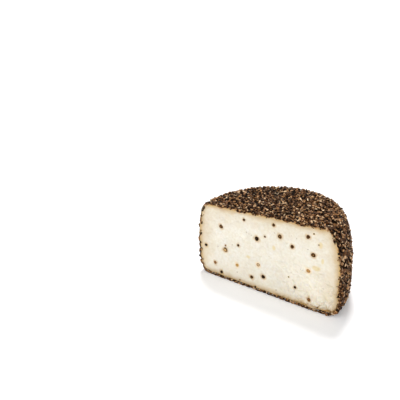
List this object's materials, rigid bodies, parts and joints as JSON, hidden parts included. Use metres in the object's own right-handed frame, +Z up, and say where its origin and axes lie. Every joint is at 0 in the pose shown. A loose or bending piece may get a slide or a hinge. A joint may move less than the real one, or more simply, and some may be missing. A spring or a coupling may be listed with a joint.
{
  "type": "peppercorn cheese half",
  "caption": "Half of a small round cheese in a coat of cracked black pepper, cut upright to show a cream-coloured paste with peppercorns.",
  "frame": {"origin": "under the middle of the half wheel's bounding box, on the surface that it rests on", "axes": "+Z up; +X along the cut, towards its taller end; the cut face looks towards -Y and the round side towards +Y"},
  "size_m": [0.11, 0.0616, 0.0594],
  "materials": {
    "cheese_paste": "satin",
    "pepper_husk": "matte",
    "pepper_kernel": "matte"
  },
  "bodies": {
    "root": {"cheese_half": "cheese_paste"}
  },
  "joints": []
}
